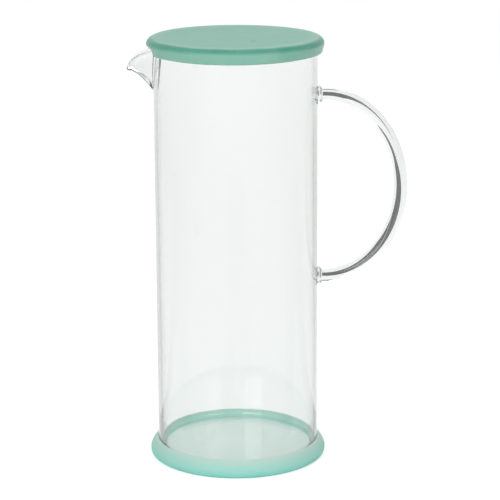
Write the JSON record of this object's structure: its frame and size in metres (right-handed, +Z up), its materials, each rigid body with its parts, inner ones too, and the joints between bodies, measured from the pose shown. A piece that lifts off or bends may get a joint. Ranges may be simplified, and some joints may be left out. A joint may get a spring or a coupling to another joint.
{
  "type": "infusion pitcher",
  "caption": "Tall straight glass pitcher with a pulled pouring beak and a bent glass rod handle, a soft notched lid that lifts off and a soft boot round its base.",
  "frame": {"origin": "centre of the boot's flat underside, on the axis of the glass body", "axes": "+Z up along the body's axis, +X towards the handle, -X towards the beak"},
  "size_m": [0.1702, 0.1096, 0.2632],
  "materials": {
    "clear_glass": "clear fire-polished borosilicate glass",
    "lid_silicone": "satin aqua silicone",
    "boot_silicone": "satin aqua silicone"
  },
  "bodies": {
    "boot": {"base_boot": "boot_silicone"},
    "jug": {"jug_body": "clear_glass", "handle_rod": "clear_glass", "handle_upper_weld": "clear_glass", "handle_lower_weld": "clear_glass"},
    "lid": {"lid_cap": "lid_silicone"}
  },
  "joints": [
    {"name": "jug_lift", "type": "slide", "parent": "boot", "child": "jug", "axis": [0, 0, 1], "range_m": [0, 0.03]},
    {"name": "lid_lift", "type": "slide", "parent": "jug", "child": "lid", "axis": [0, 0, 1], "range_m": [0, 0.04]}
  ]
}
